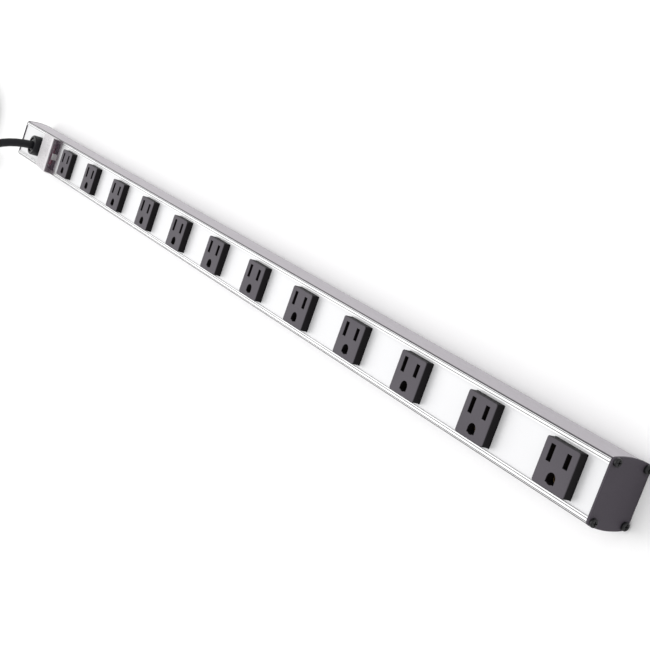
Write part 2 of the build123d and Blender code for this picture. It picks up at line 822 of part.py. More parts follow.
def make_hank():
    """The outer shape of the folded lead, with its last strand on top."""
    slab = extrude(hank_outline(), amount=hank_height)
    rims = slab.faces().sort_by(Axis.Z)[-1].edges() + slab.faces().sort_by(Axis.Z)[0].edges()
    slab = Pos(hank_middle_x, hank_middle_y, 0) * fillet(rims, hank_round)
    start, end = last_run()
    y = hank_middle_y + plug_side_offset
    level = hank_height + last_run_lift + cord_radius
    strand = along_x(cord_radius, start, end, y, level)
    strand += block((start, end), (y - cord_radius / 2, y + cord_radius / 2), (hank_height - 1, level))
    tie_half = tie_width / 2
    tie_y = hank_waist_half_width + tie_thickness
    hollow = block((-tie_half, tie_half), (-tie_y - 9, tie_y + 9), (-1, hank_height + 9))
    waist = (-hank_waist_half_width, hank_waist_half_width)
    hollow -= block((-tie_half - 1, tie_half + 1), waist, (tie_thickness, hank_height))
    slab -= Pos(hank_middle_x, hank_middle_y, 0) * hollow
    slab -= make_cord_tube()
    return slab + strand


def plug_place():
    """The plug's rear end, where the lead enters it."""
    start, _ = last_run()
    return start, hank_middle_y + plug_side_offset, hank_height + last_run_lift + cord_radius


def make_plug_body():
    """The moulded plug: a tapered relief and a block with rounded edges."""
    x, y, z = plug_place()
    relief_end = x - plug_relief_length
    front = relief_end - plug_body_length
    width = (y - plug_body_half_width, y + plug_body_half_width)
    body = block((front, relief_end), width, (plug_bottom, plug_bottom + plug_body_height))
    body = fillet(body.edges().filter_by(Axis.X), plug_body_round)
    body = fillet(body.faces().sort_by(Axis.X)[-1].edges(), plug_body_round * 0.8)
    narrow = Plane(origin=(x, y, z), z_dir=(-1, 0, 0)) * Circle(cord_radius + 0.6)
    level = plug_bottom + plug_relief_radius + plug_rest_gap
    wide = Plane(origin=(relief_end - 0.5, y, level), z_dir=(-1, 0, 0)) * Circle(plug_relief_radius)
    return body + loft([narrow, wide])


def plug_front():
    x, y, _ = plug_place()
    return x - plug_relief_length - plug_body_length, y, plug_bottom + plug_body_height / 2


def make_plug_blades():
    """The two flat blades, side by side."""
    x, y, z = plug_front()
    level = z + ground_pin_offset / 2 - 1
    blades = []
    for side in (-1, 1):
        centre = y + side * blade_spacing / 2
        y_range = (centre - blade_thickness / 2, centre + blade_thickness / 2)
        z_range = (level - blade_width / 2, level + blade_width / 2)
        blades.append(block((x - blade_length, x), y_range, z_range))
    return Compound(children=blades)


def make_plug_ground_pin():
    x, y, z = plug_front()
    pin = along_x(ground_pin_radius, x - ground_pin_length, x, y, z - ground_pin_offset / 2 - 1)
    return fillet(pin.edges().sort_by(Axis.X)[0], ground_pin_radius * 0.8)


def make_all():
    """Every piece under its node's name."""
    pieces = {
        "housing": make_housing(),
        "front_panel": make_front_panel(),
        "end_plate_near": make_end_plate(1),
        "end_plate_far": make_end_plate(-1),
        "end_screws_near": make_end_screws(1),
        "end_screws_far": make_end_screws(-1),
        "line_contacts": make_contacts(make_blade_contact(blade_spacing / 2, bus_places()[0])),
        "neutral_contacts": make_contacts(make_blade_contact(-blade_spacing / 2, bus_places()[1])),
        "ground_contacts": make_contacts(make_ground_contact()),
        "line_bus_bar": make_bus_bar(bus_places()[0]),
        "neutral_bus_bar": make_bus_bar(bus_places()[1]),
        "ground_bus_bar": make_bus_bar(bus_places()[2]),
        "switch_body": make_switch_body(),
        "switch_rocker": make_rocker(),
        "rocker_pivot": make_rocker_pivot(),
        "switch_lamp": make_switch_lamp(),
        "switch_terminals": make_switch_terminals(),
        "switch_guard": make_switch_guard(),
        "guard_hinge_base": make_hinge_base(),
        "guard_hinge_pin": make_hinge_pin(),
        "guard_latch": make_guard_latch(),
        "cord_bushing": make_cord_bushing(),
        "bushing_lock": make_bushing_lock(),
        "inner_jacket": make_inner_jacket(),
        "line_lead": make_line_lead(),
        "switched_lead": make_switched_lead(),
        "neutral_lead": make_neutral_lead(),
        "ground_lead": make_ground_lead(),
        "ring_terminal": make_ring_terminal(),
        "ground_nut": make_ground_nut(),
        "cord_tube": make_cord_tube(),
        "cord_hank": make_hank(),
        "hank_tie": make_tie(),
        "plug_body": make_plug_body(),
        "plug_blades": make_plug_blades(),
        "plug_ground_pin": make_plug_ground_pin(),
    }
    face = make_outlet_face()
    base = make_outlet_base()
    for number, x in enumerate(outlet_places, start=1):
        pieces[f"outlet_{number:02d}_face"] = Pos(x, 0, 0) * face
        pieces[f"outlet_{number:02d}_base"] = Pos(x, 0, 0) * base
    return pieces


os.makedirs("parts", exist_ok=True)
for name, piece in make_all().items():
    export_step(piece, f"parts/{name}.step")
tube_volume = make_cord_tube().volume
route_volume = math.pi * cord_radius**2 * cord_path().length
print("lead bend radii in mm:", [round(radius, 1) for radius in bend_radii()])
print("lead tube length in mm:", round(cord_path().length, 1))
print("lead tube volume over section times length:", round(tube_volume / route_volume, 4))
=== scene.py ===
import math

import bpy
from mathutils import Matrix, Vector


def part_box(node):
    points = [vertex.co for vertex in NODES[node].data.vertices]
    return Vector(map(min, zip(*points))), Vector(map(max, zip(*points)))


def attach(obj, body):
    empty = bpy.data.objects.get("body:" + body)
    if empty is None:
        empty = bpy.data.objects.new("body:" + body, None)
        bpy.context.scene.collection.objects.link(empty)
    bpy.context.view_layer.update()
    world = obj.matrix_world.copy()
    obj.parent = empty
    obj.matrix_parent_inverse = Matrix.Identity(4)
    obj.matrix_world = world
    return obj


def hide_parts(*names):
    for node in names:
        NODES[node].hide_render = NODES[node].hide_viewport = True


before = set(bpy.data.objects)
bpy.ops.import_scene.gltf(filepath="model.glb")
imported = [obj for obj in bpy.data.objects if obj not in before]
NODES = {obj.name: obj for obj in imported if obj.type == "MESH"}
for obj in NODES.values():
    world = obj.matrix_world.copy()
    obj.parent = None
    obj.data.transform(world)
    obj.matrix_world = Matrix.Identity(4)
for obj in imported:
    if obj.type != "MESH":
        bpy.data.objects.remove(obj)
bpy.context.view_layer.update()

bl_info = {
    "name": "Rack power strip",
    "version": (1, 0, 0),
    "blender": (4, 5, 0),
    "location": "3D View > Sidebar > Power strip",
    "description": "Dresses the rack power strip and lays its mains lead",
    "category": "Object",
}

BODY = "strip"
LIP_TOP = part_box("housing")[1].z
OUTLET_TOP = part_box("outlet_01_face")[1].z
BUSHING = sum(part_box("cord_bushing"), Vector()) / 2


# ---------------------------------------------------------------- settings


class StageSettings(bpy.types.PropertyGroup):
    """Camera, floor and light"""

    camera_place: bpy.props.FloatVectorProperty(
        name="Camera place", description="Where the camera stands", default=(0.8661, 0.1248, 0.5057),
        subtype="TRANSLATION", unit="LENGTH",
    )
    camera_target: bpy.props.FloatVectorProperty(
        name="Camera target", description="The point on the strip that the camera looks at",
        default=(0.1962, 0.0013, 0.0341), subtype="TRANSLATION", unit="LENGTH",
    )
    camera_roll: bpy.props.FloatProperty(
        name="Camera roll", description="How far the camera is turned about its own line of sight",
        default=math.radians(-76.39), subtype="ANGLE",
    )
    camera_rise: bpy.props.FloatProperty(
        name="Camera shift", description="Vertical shift of the lens, as a share of the frame",
        default=-0.0039,
    )
    lens: bpy.props.FloatProperty(name="Lens", description="Focal length in millimetres", default=70.07)
    floor_colour: bpy.props.FloatVectorProperty(
        name="Floor", description="Colour of the floor", default=(0.93, 0.93, 0.93), subtype="COLOR",
    )
    surround: bpy.props.FloatProperty(
        name="Surround", description="Strength of the even white surround", default=0.85,
    )
    back_softbox: bpy.props.FloatProperty(
        name="Back softbox", description="Power of the large light beyond the cord end", default=22.0,
        subtype="POWER",
    )
    top_softbox: bpy.props.FloatProperty(
        name="Top softbox", description="Power of the light overhead", default=9.0, subtype="POWER",
    )


class LeadSettings(bpy.types.PropertyGroup):
    """The mains lead, its hank, tie and plug"""

    length: bpy.props.FloatProperty(
        name="Length", description="Real length of the lead", default=4.57, unit="LENGTH",
    )
    diameter: bpy.props.FloatProperty(
        name="Diameter", description="Thickness of the jacket", default=0.0084, unit="LENGTH",
    )
    turns: bpy.props.IntProperty(
        name="Turns", description="Turns of the lead in its hank", default=11,
    )
    turn_points: bpy.props.IntProperty(
        name="Points a turn", description="Control points in each turn of the hank", default=24,
    )
    strap_thickness: bpy.props.FloatProperty(
        name="Strap", description="Thickness of the hook-and-loop tie", default=0.0011, unit="LENGTH",
    )
    grip_ridges: bpy.props.IntProperty(
        name="Grip ridges", description="Raised ridges on each side of the plug", default=6,
    )
    relief_rings: bpy.props.IntProperty(
        name="Relief rings", description="Flexible rings along the plug's strain relief", default=6,
    )


class FinishSettings(bpy.types.PropertyGroup):
    """Colours of the visible finishes; the channel's colours and the outlets' top colour hold painted light
    and shade
    """

    # The channel's colours are one anodised finish painted in lit and shaded tones: painted shade on the
    # sides and in the grooves, a painted highlight on the lips.
    shaded_channel_side: bpy.props.FloatVectorProperty(
        name="Channel side", description="Anodised sides of the channel", default=(0.43, 0.405, 0.435),
        subtype="COLOR",
    )
    lit_channel_lips: bpy.props.FloatVectorProperty(
        name="Channel lips", description="Bright front lips of the channel", default=(0.74, 0.74, 0.745),
        subtype="COLOR",
    )
    groove_painted_shade: bpy.props.FloatVectorProperty(
        name="Grooves", description="Shaded fine grooves along the lips", default=(0.085, 0.08, 0.086),
        subtype="COLOR",
    )
    panel: bpy.props.FloatVectorProperty(
        name="Panel", description="Pale enamel of the front panel", default=(0.70, 0.70, 0.71),
        subtype="COLOR",
    )
    # Painted sheen: the outlets' top is a greyer copy of their near-black sides, standing for the back
    # light's sheen.
    outlet_top_painted_sheen: bpy.props.FloatVectorProperty(
        name="Outlet faces", description="Dark grey top of each outlet", default=(0.088, 0.080, 0.092),
        subtype="COLOR",
    )
    outlet_side: bpy.props.FloatVectorProperty(
        name="Outlet sides", description="Near-black sides of each outlet", default=(0.006, 0.005, 0.006),
        subtype="COLOR",
    )
    end_plate: bpy.props.FloatVectorProperty(
        name="End plates", description="Moulded end plates", default=(0.056, 0.048, 0.060),
        subtype="COLOR",
    )
    rocker: bpy.props.FloatVectorProperty(
        name="Rocker", description="Dark red rocker", default=(0.26, 0.015, 0.045),
        subtype="COLOR",
    )
    jacket: bpy.props.FloatVectorProperty(
        name="Jacket", description="Black rubber of the lead and plug", default=(0.010, 0.010, 0.012),
        subtype="COLOR",
    )


# ---------------------------------------------------------------- helpers


def deselect_all():
    if bpy.context.object and bpy.context.object.mode != "OBJECT":
        bpy.ops.object.mode_set(mode="OBJECT")
    bpy.ops.object.select_all(action="DESELECT")


def make_active(piece):
    deselect_all()
    piece.select_set(True)
    bpy.context.view_layer.objects.active = piece


def settle(piece):
    """Puts the piece's place into its mesh, so that its object sits at the origin."""
    make_active(piece)
    bpy.ops.object.transform_apply(location=True, rotation=True, scale=True)


def smooth_by_angle(piece, angle=35):
    make_active(piece)
    bpy.ops.object.shade_smooth_by_angle(angle=math.radians(angle))


def apply_modifier(piece, kind, **values):
    make_active(piece)
    modifier = piece.modifiers.new(kind.title(), kind)
    for name, value in values.items():
        setattr(modifier, name, value)
    bpy.ops.object.modifier_apply(modifier=modifier.name)


def join(pieces, name):
    """Joins meshes into one, under a name."""
    deselect_all()
    for piece in pieces:
        piece.select_set(True)
    bpy.context.view_layer.objects.active = pieces[0]
    bpy.ops.object.join()
    joined = bpy.context.object
    joined.name = name
    joined.data.name = name
    return joined


def select_where(piece, kind, wanted):
    """In edit mode, selects the faces, edges or vertices of a piece that pass a test."""
    bpy.ops.object.mode_set(mode="EDIT")
    bpy.ops.mesh.select_mode(type=kind)
    bpy.ops.mesh.select_all(action="DESELECT")
    bpy.ops.object.mode_set(mode="OBJECT")
    held = {"FACE": piece.data.polygons, "EDGE": piece.data.edges, "VERT": piece.data.vertices}[kind]
    for item in held:
        item.select = wanted(item)
    bpy.ops.object.mode_set(mode="EDIT")


def box_between(low, high, name):
    """A box primitive between two corners, settled."""
    deselect_all()
    low, high = Vector(low), Vector(high)
    bpy.ops.mesh.primitive_cube_add(size=1, location=(low + high) / 2, scale=high - low)
    piece = bpy.context.object
    piece.name = name
    settle(piece)
    return piece


# ---------------------------------------------------------------- shader groups


def new_socket(group, name, kind, default=None, out=False):
    made = group.interface.new_socket(
        name=name, in_out="OUTPUT" if out else "INPUT", socket_type=kind
    )
    if default is not None:
        made.default_value = default


def group_of(name, build):
    """A shader group by name, built once."""
    held = bpy.data.node_groups.get(name)
    if held:
        return held
    group = bpy.data.node_groups.new(name, "ShaderNodeTree")
    build(group, group.nodes.new)
    return group


def maths(nodes, links, operation, first, second, third=None):
    """A maths node on sockets or numbers."""
    made = nodes.new("ShaderNodeMath")
    made.operation = operation
    for held, value in zip(made.inputs, (first, second, third)):
        if value is None:
            continue
        if isinstance(value, (int, float)):
            held.default_value = value
        else:
            links.new(value, held)
    return made.outputs[0]


def build_grain(group, new):
    """Moulded or painted grain: colour and roughness that vary a little, and a height."""
    new_socket(group, "Colour", "NodeSocketColor", (0.5, 0.5, 0.5, 1))
    new_socket(group, "Variation", "NodeSocketFloat", 0.1)
    new_socket(group, "Grain scale", "NodeSocketFloat", 900.0)
    new_socket(group, "Roughness", "NodeSocketFloat", 0.5)
    new_socket(group, "Roughness variation", "NodeSocketFloat", 0.1)
    new_socket(group, "Colour out", "NodeSocketColor", out=True)
    new_socket(group, "Roughness out", "NodeSocketFloat", out=True)
    new_socket(group, "Height", "NodeSocketFloat", out=True)
    nodes, links = group.nodes, group.links
    inside, outside = new("NodeGroupInput"), new("NodeGroupOutput")
    place = new("ShaderNodeTexCoord")
    fine, broad = new("ShaderNodeTexNoise"), new("ShaderNodeTexNoise")
    fine.inputs["Detail"].default_value = 3
    broad.inputs["Scale"].default_value = 28
    broad.inputs["Detail"].default_value = 4
    for noise in (fine, broad):
        links.new(place.outputs["Object"], noise.inputs["Vector"])
    links.new(inside.outputs["Grain scale"], fine.inputs["Scale"])
    centred_broad = maths(nodes, links, "MULTIPLY_ADD", broad.outputs["Fac"], 4.0, -2.0)
    centred_fine = maths(nodes, links, "MULTIPLY_ADD", fine.outputs["Fac"], 2.0, -1.0)
    both = maths(nodes, links, "ADD", centred_broad, centred_fine)
    shade = maths(nodes, links, "MULTIPLY_ADD", both, inside.outputs["Variation"], 1.0)
    tint = new("ShaderNodeVectorMath")
    tint.operation = "SCALE"
    links.new(inside.outputs["Colour"], tint.inputs[0])
    links.new(shade, tint.inputs["Scale"])
    links.new(tint.outputs[0], outside.inputs["Colour out"])
    rough = maths(
        nodes, links, "MULTIPLY_ADD", centred_fine, inside.outputs["Roughness variation"],
        inside.outputs["Roughness"],
    )
    links.new(rough, outside.inputs["Roughness out"])
    links.new(fine.outputs["Fac"], outside.inputs["Height"])


def build_drawn_lines(group, new):
    """Fine lines drawn along the strip by the extruder's die."""
    new_socket(group, "Roughness", "NodeSocketFloat", 0.4)
    new_socket(group, "Roughness variation", "NodeSocketFloat", 0.15)
    new_socket(group, "Roughness out", "NodeSocketFloat", out=True)
    new_socket(group, "Shade", "NodeSocketFloat", out=True)
    nodes, links = group.nodes, group.links
    inside, outside = new("NodeGroupInput"), new("NodeGroupOutput")
    place, stretch, lines = new("ShaderNodeTexCoord"), new("ShaderNodeMapping"), new("ShaderNodeTexNoise")
    stretch.inputs["Scale"].default_value = (0.012, 1, 1)
    lines.inputs["Scale"].default_value = 1400
    lines.inputs["Detail"].default_value = 4
    links.new(place.outputs["Object"], stretch.inputs["Vector"])
    links.new(stretch.outputs[0], lines.inputs["Vector"])
    centred = maths(nodes, links, "MULTIPLY_ADD", lines.outputs["Fac"], 2.0, -1.0)
    rough = maths(
        nodes, links, "MULTIPLY_ADD", centred, inside.outputs["Roughness variation"],
        inside.outputs["Roughness"],
    )
    links.new(rough, outside.inputs["Roughness out"])
    links.new(lines.outputs["Fac"], outside.inputs["Shade"])


def build_height_mask(group, new):
    """0 below a height on the piece and 1 above it."""
    new_socket(group, "Height", "NodeSocketFloat", 0.0)
    new_socket(group, "Softness", "NodeSocketFloat", 0.0002)
    new_socket(group, "Mask", "NodeSocketFloat", out=True)
    nodes, links = group.nodes, group.links
    inside, outside = new("NodeGroupInput"), new("NodeGroupOutput")
    place, split = new("ShaderNodeTexCoord"), new("ShaderNodeSeparateXYZ")
    links.new(place.outputs["Object"], split.inputs[0])
    above = maths(nodes, links, "SUBTRACT", split.outputs["Z"], inside.outputs["Height"])
    share = maths(nodes, links, "DIVIDE", above, inside.outputs["Softness"])
    clamp = new("ShaderNodeClamp")
    links.new(share, clamp.inputs["Value"])
    links.new(clamp.outputs[0], outside.inputs["Mask"])


def build_edge_highlight_mask(group, new):
    """1 along sharp edges and 0 on flat faces, for painting highlights along the edges."""
    new_socket(group, "Width", "NodeSocketFloat", 0.0003)
    new_socket(group, "Mask", "NodeSocketFloat", out=True)
    nodes, links = group.nodes, group.links
    inside, outside = new("NodeGroupInput"), new("NodeGroupOutput")
    rounded, face = new("ShaderNodeBevel"), new("ShaderNodeNewGeometry")
    links.new(inside.outputs["Width"], rounded.inputs["Radius"])
    dot = new("ShaderNodeVectorMath")
    dot.operation = "DOT_PRODUCT"
    links.new(rounded.outputs[0], dot.inputs[0])
    links.new(face.outputs["Normal"], dot.inputs[1])
    turned = maths(nodes, links, "SUBTRACT", 1.0, dot.outputs["Value"])
    scaled = maths(nodes, links, "MULTIPLY", turned, 6.0)
    clamp = new("ShaderNodeClamp")
    links.new(scaled, clamp.inputs["Value"])
    links.new(clamp.outputs[0], outside.inputs["Mask"])


# ---------------------------------------------------------------- materials


class Finish:
    """A material with its Principled shader, built up step by step."""

    def __init__(self, name, metallic=0.0, specular=0.5):
        self.material = bpy.data.materials.new(name)
        self.material.use_nodes = True
        self.nodes, self.links = self.material.node_tree.nodes, self.material.node_tree.links
        self.shader = self.nodes["Principled BSDF"]
        self.shader.inputs["Metallic"].default_value = metallic
        self.shader.inputs["Specular IOR Level"].default_value = specular

    def group(self, name, build, **values):
        made = self.nodes.new("ShaderNodeGroup")
        made.node_tree = group_of(name, build)
        for key, value in values.items():
            made.inputs[key.replace("_", " ").capitalize()].default_value = value
        return made

    def mix(self, mask, low, high):
        """A colour that goes from low to high with a mask."""
        made = self.nodes.new("ShaderNodeMix")
        made.data_type = "RGBA"
        # A colour mix keeps its factor at input 0, its colours at 6 and 7, and its result at output 2.
        self.links.new(mask, made.inputs[0])
        for index, value in ((6, low), (7, high)):
            if isinstance(value, bpy.types.NodeSocket):
                self.links.new(value, made.inputs[index])
            else:
                made.inputs[index].default_value = (*value, 1)
        return made.outputs[2]

    def bump(self, height, distance, strength=0.4):
        made = self.nodes.new("ShaderNodeBump")
        made.inputs["Strength"].default_value = strength
        made.inputs["Distance"].default_value = distance
        self.links.new(height, made.inputs["Height"])
        self.links.new(made.outputs["Normal"], self.shader.inputs["Normal"])

    def grain(self, colour, roughness, scale, distance, variation=0.05, spread=0.06):
        """Grain over a colour or a colour socket, into the shader."""
        made = self.group(
            "moulded_grain", build_grain, variation=variation, grain_scale=scale, roughness=roughness,
            roughness_variation=spread,
        )
        if isinstance(colour, bpy.types.NodeSocket):
            self.links.new(colour, made.inputs["Colour"])
        else:
            made.inputs["Colour"].default_value = (*colour, 1)
        self.links.new(made.outputs["Colour out"], self.shader.inputs["Base Color"])
        self.links.new(made.outputs["Roughness out"], self.shader.inputs["Roughness"])
        self.bump(made.outputs["Height"], distance)
        return self.material


def moulded(name, colour, roughness, scale=1200.0, distance=0.00004, variation=0.05, specular=0.5, edge=0.5):
    """Plastic or rubber with grain, lightened along its edges by a share as a painted highlight."""
    finish = Finish(name, specular=specular)
    edges = finish.group("edge_highlight_mask", build_edge_highlight_mask)
    edge_highlight_colour = tuple(min(1, value * (1 + edge) + 0.012 * edge) for value in colour)
    tone = finish.mix(edges.outputs["Mask"], colour, edge_highlight_colour)
    return finish.grain(tone, roughness, scale, distance, variation)


def drawn_metal(name, colour, roughness, metallic=1.0):
    """Rolled or drawn metal with fine lines along the strip."""
    finish = Finish(name, metallic=metallic)
    lines = finish.group("drawn_lines", build_drawn_lines, roughness=roughness)
    darker = tuple(0.86 * value for value in colour)
    tone = finish.mix(lines.outputs["Shade"], darker, colour)
    finish.links.new(tone, finish.shader.inputs["Base Color"])
    finish.links.new(lines.outputs["Roughness out"], finish.shader.inputs["Roughness"])
    finish.bump(lines.outputs["Shade"], 0.00002, 0.3)
    return finish.material


def channel_finish(values):
    """Anodised extrusion, one finish in painted tones: grey sides as painted shade, painted shade in the
    grooves and bright lips as a painted highlight, with drawn lines.
    """
    finish = Finish("channel_anodised_painted_light", metallic=0.6)
    # Painted light: a band just under the tops of the lips takes the painted shade of the grooves, and the
    # tops themselves take the painted highlight.
    front = finish.group("height_mask", build_height_mask, height=LIP_TOP - 0.0011, softness=0.0003)
    lip_highlight_mask = finish.group("height_mask", build_height_mask, height=LIP_TOP - 0.00006, softness=0.00004)
    shaded_side_to_groove_shade = finish.mix(front.outputs["Mask"], values.shaded_channel_side, values.groove_painted_shade)
    tone = finish.mix(lip_highlight_mask.outputs["Mask"], shaded_side_to_groove_shade, values.lit_channel_lips)
    lines = finish.group("drawn_lines", build_drawn_lines, roughness=0.42, roughness_variation=0.12)
    finish.links.new(tone, finish.shader.inputs["Base Color"])
    finish.links.new(lines.outputs["Roughness out"], finish.shader.inputs["Roughness"])
    finish.bump(lines.outputs["Shade"], 0.00002, 0.3)
    return finish.material


def outlet_finish(values):
    """Dark moulding, greyer on its textured top than on its smooth sides as a painted sheen, with a painted
    highlight along its edges.
    """
    finish = Finish("outlet_moulding_painted_sheen", specular=0.12)
    # Painted sheen: above this height the top takes the greyer colour that stands for the back light's sheen;
    # the edges take a painted highlight.
    top = finish.group("height_mask", build_height_mask, height=OUTLET_TOP - 0.0004, softness=0.0003)
    edges = finish.group("edge_highlight_mask", build_edge_highlight_mask, width=0.00025)
    tone = finish.mix(top.outputs["Mask"], values.outlet_side, values.outlet_top_painted_sheen)
    rim_highlight = finish.mix(edges.outputs["Mask"], tone, (0.035, 0.032, 0.036))
    return finish.grain(rim_highlight, 0.5, 1100.0, 0.00007, 0.10)


def guard_finish(glare_end_x):
    """Clear moulding, pale and near-opaque over the slope and crest as a painted reflection of the back
    light, and clear in the end wall.
    """
    finish = Finish("guard_clear_moulding_painted_glare", specular=0.2)
    place, split = finish.nodes.new("ShaderNodeTexCoord"), finish.nodes.new("ShaderNodeSeparateXYZ")
    finish.links.new(place.outputs["Object"], split.inputs[0])
    past = maths(finish.nodes, finish.links, "SUBTRACT", split.outputs["X"], glare_end_x)
    share = maths(finish.nodes, finish.links, "DIVIDE", past, 0.0006)
    clamp = finish.nodes.new("ShaderNodeClamp")
    finish.links.new(share, clamp.inputs["Value"])
    edges = finish.group("edge_highlight_mask", build_edge_highlight_mask, width=0.0005)
    # Painted reflection: up to a little past the crest the guard is near-opaque to stand for the glare of the
    # back light; its edges are made more opaque as a painted highlight.
    glare_opacity = maths(finish.nodes, finish.links, "MULTIPLY_ADD", clamp.outputs[0], -0.72, 0.95)
    alpha = maths(finish.nodes, finish.links, "MAXIMUM", glare_opacity, edges.outputs["Mask"])
    limited = maths(finish.nodes, finish.links, "MINIMUM", alpha, 0.95)
    finish.links.new(limited, finish.shader.inputs["Alpha"])
    # The pale colour is the painted glare of the back light; the dark one tints the clear end wall.
    tone = finish.mix(clamp.outputs[0], (0.66, 0.64, 0.655), (0.14, 0.10, 0.13))
    return finish.grain(tone, 0.28, 700.0, 0.00002, 0.008)


def clear_plastic(name, colour, roughness, alpha):
    """Thin clear moulding."""
    finish = Finish(name)
    finish.shader.inputs["Alpha"].default_value = alpha
    return finish.grain(colour, roughness, 600.0, 0.00002, 0.02)


def strap_finish():
    """Hook-and-loop strap: a fine woven pile."""
    finish = Finish("strap_pile", specular=0.2)
    place, weave = finish.nodes.new("ShaderNodeTexCoord"), finish.nodes.new("ShaderNodeTexVoronoi")
    weave.inputs["Scale"].default_value = 1500
    finish.links.new(place.outputs["Object"], weave.inputs["Vector"])
    tone = finish.mix(weave.outputs["Distance"], (0.012, 0.012, 0.014), (0.045, 0.045, 0.05))
    finish.links.new(tone, finish.shader.inputs["Base Color"])
    finish.shader.inputs["Roughness"].default_value = 0.9
    finish.shader.inputs["Sheen Weight"].default_value = 0.4
    finish.bump(weave.outputs["Distance"], 0.0004, 0.8)
    return finish.material


def jacket_finish(values):
    return moulded("lead_jacket", values.jacket, 0.42, 1500.0, 0.00003, 0.08, 0.16, 0.0)


def put_on(nodes, material):
    """Gives CAD nodes a material in every slot."""
    for name in nodes:
        slots = NODES[name].material_slots
        if not slots:
            NODES[name].data.materials.append(material)
        for held in slots:
            held.link = "OBJECT"
            held.material = material


def named(start, end):
    return sorted(name for name in NODES if name.startswith(start) and name.endswith(end))


def soften(nodes, width, segments=2):
    """Welds a copy of each node's loose triangles in its modifiers and rounds its sharp edges."""
    for name in nodes:
        weld = NODES[name].modifiers.new("Weld", "WELD")
        weld.merge_threshold = 0.000002
        rounded = NODES[name].modifiers.new("Bevel", "BEVEL")
        rounded.width = width
        rounded.segments = segments
        rounded.limit_method = "ANGLE"
        rounded.angle_limit = math.radians(40)
        rounded.use_clamp_overlap = True
        rounded.harden_normals = False


# ---------------------------------------------------------------- operators


class STRIP_OT_stage(bpy.types.Operator):
    """Sets the camera, a plain pale floor and soft light"""

    bl_idname = "strip.stage"
    bl_label = "Stage"

    def execute(self, context):
        values = context.scene.strip_stage
        data = bpy.data.cameras.new("camera")
        data.lens = values.lens
        data.sensor_width = 36
        data.shift_y = values.camera_rise
        data.clip_start = 0.01
        camera = bpy.data.objects.new("camera", data)
        context.scene.collection.objects.link(camera)
        place = Vector(values.camera_place)
        aim = (Vector(values.camera_target) - place).to_track_quat("-Z", "Y").to_matrix().to_4x4()
        camera.matrix_world = Matrix.Translation(place) @ aim @ Matrix.Rotation(values.camera_roll, 4, "Z")
        context.scene.camera = camera
        self.floor(values)
        self.lights(context, values)
        return {"FINISHED"}

    def floor(self, values):
        deselect_all()
        bpy.ops.mesh.primitive_plane_add(size=8, location=(0, 0, 0))
        floor = bpy.context.object
        floor.name = "floor"
        finish = Finish("floor_paper", specular=0.1)
        finish.shader.inputs["Base Color"].default_value = (*values.floor_colour, 1)
        finish.shader.inputs["Roughness"].default_value = 0.9
        floor.data.materials.append(finish.material)

    def lights(self, context, values):
        world = bpy.data.worlds.new("surround")
        world.use_nodes = True
        back = world.node_tree.nodes["Background"]
        back.inputs["Color"].default_value = (1, 1, 1, 1)
        back.inputs["Strength"].default_value = values.surround
        context.scene.world = world
        context.scene.view_settings.view_transform = "Standard"
        for name, place, size, power in (
            ("back_softbox", (-1.7, -0.3, 1.7), 2.2, values.back_softbox),
            ("top_softbox", (0.3, 0.2, 1.8), 1.8, values.top_softbox),
        ):
            data = bpy.data.lights.new(name, "AREA")
            data.shape = "SQUARE"
            data.size = size
            data.energy = power
            light = bpy.data.objects.new(name, data)
            context.scene.collection.objects.link(light)
            light.location = place
            light.rotation_euler = (-Vector(place)).to_track_quat("-Z", "Y").to_euler()


